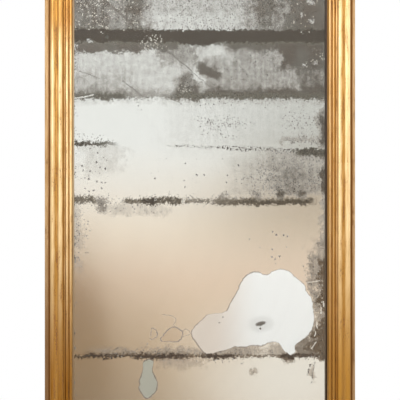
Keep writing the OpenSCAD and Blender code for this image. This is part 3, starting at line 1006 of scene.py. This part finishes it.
def silveredFinish():
    paint = newPaint("foxedSilvering")
    spot = paint.vector("SUBTRACT", paint.objectSpot(), tuple(plateMiddle))
    spot = paint.vector("MULTIPLY", spot, (1 / mm, 0, 1 / mm))

    def cloudOf(name, place=spot, out=0):
        return paint.cloud(place, *silverClouds[name], out=out)

    wander = paint.vector("SUBTRACT", cloudOf("wander", out=1), (0.5, 0.5, 0.5))
    fine = paint.vector("SUBTRACT", cloudOf("fine", out=1), (0.5, 0.5, 0.5))
    frayed = paint.pulled(spot, wander, silverPulls["frayedWander"])
    frayed = paint.pulled(frayed, fine, silverPulls["frayedFine"])
    torn = paint.pulled(frayed, wander, silverPulls["tornWander"])
    torn = paint.pulled(torn, fine, silverPulls["tornFine"])
    cloudy = paint.pulled(torn, wander, silverPulls["cloudyWander"])
    x, z = paint.split(torn, "xz")
    cloudyX, cloudyZ = paint.split(cloudy, "xz")
    plainX, plainZ = paint.split(spot, "xz")
    drift = cloudOf("drift") - 0.5
    mottle = cloudOf("mottle") - 0.5
    drag = cloudOf("drag", paint.joined(plainX, plainZ / 10, 0)) - 0.5

    light = paint.clamped(rounds(paint, torn, clearings, 0.6))
    haze = rounds(paint, torn, smudges, 0.6)
    for facts in hazes.values():
        haze = haze + strip(paint, cloudyX, cloudyZ, facts)
    haze = haze * (1 + (mottle * 2.4 + drag * 1.2) * (1.4 - haze)) + drift * 0.05
    haze = paint.clamped(haze * (1 - light))
    band = None
    for board, strips in bands.items():
        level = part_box(board)[1].z / mm - halfHigh / mm
        for facts in strips.values():
            mark = strip(paint, x, z, facts, level)
            band = mark if band is None else band + mark
    band = paint.clamped(band * (1 + mottle * 0.7) * (1 - light))
    rim = paint.eased(abs(plainX), *silverTurns["rim"])
    thick = rounds(paint, torn, dust) * (1 + mottle * 2.4) + rim * 0.46 + band * 0.45
    dusty = specks(paint, frayed, thick, speckSizes["dusty"])
    coarse = rounds(paint, torn, spots) + rim * 0.42
    blurred = paint.pulled(frayed, fine, silverPulls["spottedFine"])
    spotted = specks(paint, blurred, coarse, speckSizes["spotted"])
    sparkle = rounds(paint, torn, sparks)
    shifted = paint.vector("ADD", frayed, silverPulls["sparkShift"])
    sparkling = specks(paint, shifted, sparkle, speckSizes["sparkling"])

    patchEdge = outside(paint, frayed, middles["patch"], patchOutline)
    dripEdge = outside(paint, frayed, middles["drip"], dripOutline)
    inPatch = paint.eased(patchEdge, *silverTurns["inside"])
    inDrip = paint.eased(dripEdge, *silverTurns["inside"])
    edge = paint.eased(abs(patchEdge), *silverTurns["outline"])
    outline = edge * (0.3 + paint.eased(plainX, *silverTurns["outlineFades"]) * 0.4)
    outline = paint.most(outline, paint.eased(abs(dripEdge), *silverTurns["outline"]) * 0.8)
    inIsland = outside(paint, frayed, middles["island"], islandOutline)
    loop = paint.eased(abs(inIsland), *silverTurns["island"])
    outline = paint.most(outline, loop * 0.75)
    inIsland = paint.eased(inIsland, *silverTurns["inside"])
    dropEdge = outside(paint, frayed, middles["drop"], dropOutline)
    loop = paint.eased(abs(dropEdge), *silverTurns["drop"])
    outline = paint.most(outline, loop * 0.75)
    trail = linesOf(paint, frayed, [(start, end, tailHalfWide) for start, end in zip(tail, tail[1:])])
    outline = paint.most(outline, trail * 0.75)
    crumbled = paint.pulled(frayed, fine, silverPulls["crumbledFine"])
    cracked = linesOf(paint, crumbled, cracks.values())
    cracked = cracked * paint.eased(cloudOf("crumbs"), *silverTurns["crumbs"])

    whole = (1 - inPatch) * (1 - inDrip)
    # Lower on the plate the haze, the bands and the specks turn warmer and browner, partly their own stain and partly
    # a painted reflection of the warm room below.
    low = paint.eased(plainZ, *silverTurns["low"])
    tone = paint.mixed(paint.eased(drift, *silverTurns["cool"]), silver["haze"], silver["hazeCool"])
    tone = paint.mixed(low, tone, silver["hazeLowWarmReflection"])
    colour = paint.mixed(haze, silver["bright"], tone)
    thin = paint.eased(band, *silverTurns["thin"])
    colour = paint.mixed(thin, colour, paint.mixed(low, silver["brownThin"], silver["hazeLowWarmReflection"]))
    core = paint.eased(band, *silverTurns["brown"])
    colour = paint.mixed(core, colour, paint.mixed(low, silver["brown"], silver["brownLowWarmReflection"]))
    dark = paint.most(dusty * 0.85, spotted * 0.9)
    dark = paint.most(dark, cracked)
    colour = paint.mixed(dark, colour, paint.mixed(low, silver["speck"], silver["speckLowWarmReflection"]))
    colour = paint.mixed(sparkling * 0.7, colour, silver["spark"])
    scored = linesOf(paint, frayed, scratches.values())
    colour = paint.mixed(scored * 0.6, colour, silver["haze"])
    cut = linesOf(paint, frayed, slashes.values())
    colour = paint.mixed(cut * 0.9, colour, silver["bright"])
    colour = paint.mixed(inIsland * 0.35, colour, silver["patchDull"])
    lobe = paint.mixed(paint.eased(plainX, *silverTurns["lobe"]), silver["patchDull"], silver["patch"])
    lobe = paint.mixed(spotted * 0.6, lobe, silver["haze"])
    colour = paint.mixed(inPatch, colour, lobe)
    colour = paint.mixed(inDrip, colour, silver["drip"])
    marked = rounds(paint, frayed, eye, 0.5)
    colour = paint.mixed(paint.clamped(marked), colour, silver["haze"])
    colour = paint.mixed(outline, colour, silver["outline"])
    shadow = paint.eased(plainX, *silverTurns["sight"])  # the dark edge under the lip, seen from the left
    sight = paint.eased(plainZ, *silverTurns["sightLow"])
    sight = paint.mixed(sight, silver["sightShadow"], silver["hazeLowWarmReflection"])
    colour = paint.mixed(shadow, colour, sight)
    deep = paint.vector("DOT_PRODUCT", paint.objectSpot(), (0, 1 / mm, 0), out=1)
    behind = paint.eased(deep, silver["backAt"] - silver["backOver"], silver["backAt"])
    colour = paint.mixed(behind, colour, silver["tin"])

    dull = paint.eased(band, *silverTurns["dull"])
    dull = paint.most(dull, dark) * whole
    dull = dull + inPatch * paint.eased(plainX, *silverTurns["lobe"], 0.15, 0.5)
    dull = paint.most(paint.most(dull, outline * 0.6), shadow)
    dull = paint.most(dull, behind)
    swell = cloudOf("swell")
    surface = {
        "Base Color": colour,
        "Metallic": 1 - dull * 0.96,
        "Roughness": 0.04 + haze * 0.2 + dull * 0.4 + inPatch * 0.3 + inDrip * 0.3,
        "Specular IOR Level": silver["specular"],
        "Coat Weight": 1 - dull * 0.8,
        "Coat Roughness": silver["coatRoughness"],
        "Normal": paint.bumped(1.0, silver["swell"], swell),
    }
    return paint.shader(surface)


dress(silveredFinish(), "silvering")
print("plate silvered and foxed")


glass = {
    "clear": tint(176, 190, 180),
    "hazy": tint(206, 208, 198),
    "cloudWide": 0.22,  # in metres
    "polish": 0.06,
    "alpha": 0.04,
}


def glassFinish():
    paint = newPaint("oldPlateGlass")
    haze = paint.cloud(paint.objectSpot(), glass["cloudWide"], 5.0, 0.6)
    surface = {
        "Base Color": paint.mixed(haze, glass["clear"], glass["hazy"]),
        "Roughness": glass["polish"] + haze * 0.1,
        "Alpha": glass["alpha"],
    }
    return paint.shader(surface)


dress(glassFinish(), "mirror_glass")
print("glass laid")


woods = {
    "carcasePine": {"pale": tint(176, 138, 92), "dark": tint(120, 82, 46), "grime": tint(74, 54, 36)},
    "boardPine": {"pale": tint(164, 130, 92), "dark": tint(104, 72, 44), "grime": tint(62, 48, 36)},
    "blockPine": {"pale": tint(186, 150, 102), "dark": tint(140, 98, 56), "grime": tint(88, 64, 40)},
    "pegOak": {"pale": tint(142, 104, 64), "dark": tint(92, 62, 36), "grime": tint(52, 38, 26)},
}
# The figure of the wood: sizes in mm, how far each is drawn out along the grain, and where each change starts
# and ends.
grain = {
    "shift": 137.0,
    "boardLong": 18,
    "warpWide": 60,
    "warp": 46,
    "knotLong": 1.5,
    "knotsApart": 150,
    "knot": (0.10, 0.045),
    "swirl": (0.36, 0.0),
    "swirled": 18,
    "ringWide": 1.05,
    "late": (0.1, 0.95),
    "fibreLong": 30,
    "fibreWide": 1.6,
    "ageLong": 3,
    "ageWide": 90,
    "aged": (0.40, 0.80),
    "bump": (0.5, 0.0006),  # strength, and height in metres
}


def grainOf(paint, alongX, seed):  # wood coordinates in mm, the grain running along the first axis
    x, y, z = paint.split(paint.objectSpot())
    shift = seed * grain["shift"]
    if alongX:
        return x / mm + shift, z / mm + shift, y / mm
    return z / mm + shift, x / mm + shift, y / mm


def timber(paint, facts, alongX, seed):
    along, across, through = grainOf(paint, alongX, seed)

    def drawn(length):
        return paint.joined(along / length, across, through)

    warp = paint.cloud(drawn(grain["boardLong"]), grain["warpWide"], 3.0) - 0.5
    cells = {"Vector": drawn(grain["knotLong"]), "Scale": 1 / grain["knotsApart"]}
    knots = paint.node("TexVoronoi", values=cells)
    knot = paint.eased(knots, *grain["knot"])
    swirl = paint.eased(knots, *grain["swirl"]) * grain["swirled"]
    ring = paint.maths("SINE", (across + warp * grain["warp"] + swirl) / grain["ringWide"])
    late = paint.eased(ring, *grain["late"])
    fibre = paint.cloud(drawn(grain["fibreLong"]), grain["fibreWide"], 3.0, 0.6)
    age = paint.cloud(drawn(grain["ageLong"]), grain["ageWide"], 4.0, 0.6)
    colour = paint.mixed(late * 0.55 + fibre * 0.35, facts["pale"], facts["dark"])
    colour = paint.mixed(knot, colour, facts["grime"])
    colour = paint.mixed(paint.eased(age, *grain["aged"]) * 0.38, colour, facts["grime"])
    height = fibre * 0.7 + late * 0.3 - knot * 0.4
    return colour, height, fibre


def woodFinish(name, facts, alongX, seed):
    paint = newPaint(name)
    colour, height, fibre = timber(paint, facts, alongX, seed)
    surface = {
        "Base Color": colour,
        "Roughness": 0.72 + fibre * 0.16,
        "Normal": paint.bumped(*grain["bump"], height),
    }
    return paint.shader(surface)


ochre = {
    "fresh": tint(212, 176, 131),
    "rubbed": tint(182, 142, 92),
    "bare": tint(126, 90, 54),
    "quirk": tint(118, 72, 8),
    "metallic": 0.15,
    "specular": 0.25,
    "wearLong": 12,  # how far the wear is drawn out along the margin
    "wear": (0.006, 5.0, 0.62),  # size in metres, detail and roughness
    "patch": (0.05, 3.0, 0.6),
    "bump": (0.4, 0.0005),
}
# Where each change starts and ends, in metres or as a share, and for some what it goes from and to.
ochreTurns = {
    "front": (carcaseFront - 0.006, carcaseFront - 0.003),
    "side": (0.002, 0.0005),
    "sideDeep": (0.001, 0.009),
    "quirkShadowFrom": (-0.1, 0.1, 0.0104, 0.0078),  # the painted shadow beside the moulding is wider along the right stile
    "quirk": (-0.0008, 0.0008),
    "rubbed": (0.32, 0.66),
    "bare": (0.78, 0.92),
    "low": (0.98, 0.42),
    "left": (0.4, -0.4, 0.25, 0.85),
}


def carcaseFinish(name, alongX):  # bare pine behind, yellow ochre on the front margin and down the sides
    paint = newPaint(name)
    colour, height, fibre = timber(paint, woods["carcasePine"], alongX, 3.0)
    x, y, z = paint.split(paint.objectSpot())
    edgeIn = halfWide - abs(x)
    edgeIn = paint.maths("MINIMUM", edgeIn, halfHigh - abs(z - halfHigh))
    deep = y * -1
    front = paint.eased(deep, *ochreTurns["front"])
    side = paint.eased(edgeIn, *ochreTurns["side"]) * paint.eased(deep, *ochreTurns["sideDeep"])
    painted = paint.most(front, side)
    along = x if alongX else z
    across = z if alongX else halfWide - abs(x)
    wear = paint.cloud(paint.joined(across, deep, along / ochre["wearLong"]), *ochre["wear"])
    patch = paint.cloud(paint.objectSpot(), *ochre["patch"])
    # A dark line along the quirk beside the moulding: partly dark bole in the joint, partly painted shadow, wider
    # along the right stile.
    quirkShadowFrom = paint.eased(x, *ochreTurns["quirkShadowFrom"])
    quirk = paint.eased(edgeIn - quirkShadowFrom, *ochreTurns["quirk"])
    paintColour = paint.mixed(paint.eased(wear, *ochreTurns["rubbed"]), ochre["fresh"], ochre["rubbed"])
    bare = paint.eased(patch + wear * 0.4, *ochreTurns["bare"])
    paintColour = paint.mixed(bare * 0.6, paintColour, ochre["bare"])
    # Painted shade: the margin is darker towards the floor, most on the left.
    lowLeftShade = paint.eased(z, *ochreTurns["low"]) * paint.eased(x, *ochreTurns["left"])
    paintColour = paint.mixed(lowLeftShade, paintColour, ochre["bare"])
    paintColour = paint.mixed(quirk * 0.95, paintColour, ochre["quirk"])
    surface = {
        "Base Color": paint.mixed(painted, colour, paintColour),
        "Metallic": painted * ochre["metallic"],
        "Roughness": 0.72 - painted * 0.16 + fibre * 0.1,
        "Specular IOR Level": ochre["specular"],
        "Normal": paint.bumped(*ochre["bump"], height + wear * 0.5),
    }
    return paint.shader(surface)


dress(carcaseFinish("carcaseStiles", False), "carcase_left", "carcase_right")
dress(carcaseFinish("carcaseRails", True), "carcase_top", "carcase_bottom")
for number, board in enumerate(boards):
    dress(woodFinish(f"boardPine{number + 1}", woods["boardPine"], True, number + 1.0), board)
sideBlocks = [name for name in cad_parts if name.startswith(("glass_block_left", "glass_block_right"))]
endBlocks = [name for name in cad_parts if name.startswith(("glass_block_top", "glass_block_bottom"))]
dress(woodFinish("blockPineUpright", woods["blockPine"], False, 11.0), *sideBlocks)
dress(woodFinish("blockPineLevel", woods["blockPine"], True, 12.0), *endBlocks)
dress(woodFinish("pegOak", woods["pegOak"], True, 13.0), "corner_pegs")
print("woods finished")


metals = {
    "cutIron": {"bright": tint(96, 78, 64), "dull": tint(66, 44, 32), "rough": 0.62, "metallic": 0.55},
    "screwIron": {"bright": tint(128, 118, 106), "dull": tint(78, 58, 44), "rough": 0.5, "metallic": 0.8},
    "oldBrass": {"bright": tint(202, 160, 86), "dull": tint(110, 82, 44), "rough": 0.34, "metallic": 0.95},
}


metalNodes = {
    "cutIron": ["backboard_nails"],
    "screwIron": ["hanger_screws"],
    "oldBrass": ["hanger_strap_left", "hanger_strap_right", "hanger_ring_left", "hanger_ring_right"],
}
rust = {
    "patina": (0.009, 5.0, 0.65),  # size in metres, detail and roughness
    "pits": (0.0016, 3.0, 0.6),
    "old": (0.36, 0.66),
    "bump": (0.4, 0.0002),
}


def metalFinish(name, facts):
    paint = newPaint(name)
    spot = paint.objectSpot()
    patina = paint.cloud(spot, *rust["patina"])
    pits = paint.cloud(spot, *rust["pits"])
    old = paint.eased(patina + (pits - 0.5) * 0.4, *rust["old"])
    surface = {
        "Base Color": paint.mixed(old, facts["bright"], facts["dull"]),
        "Metallic": facts["metallic"] - old * 0.35,
        "Roughness": facts["rough"] + old * 0.25,
        "Normal": paint.bumped(*rust["bump"], pits - old * 0.4),
    }
    return paint.shader(surface)


for metal, metalled in metalNodes.items():
    dress(metalFinish(metal, metals[metal]), *metalled)
print("metals finished")
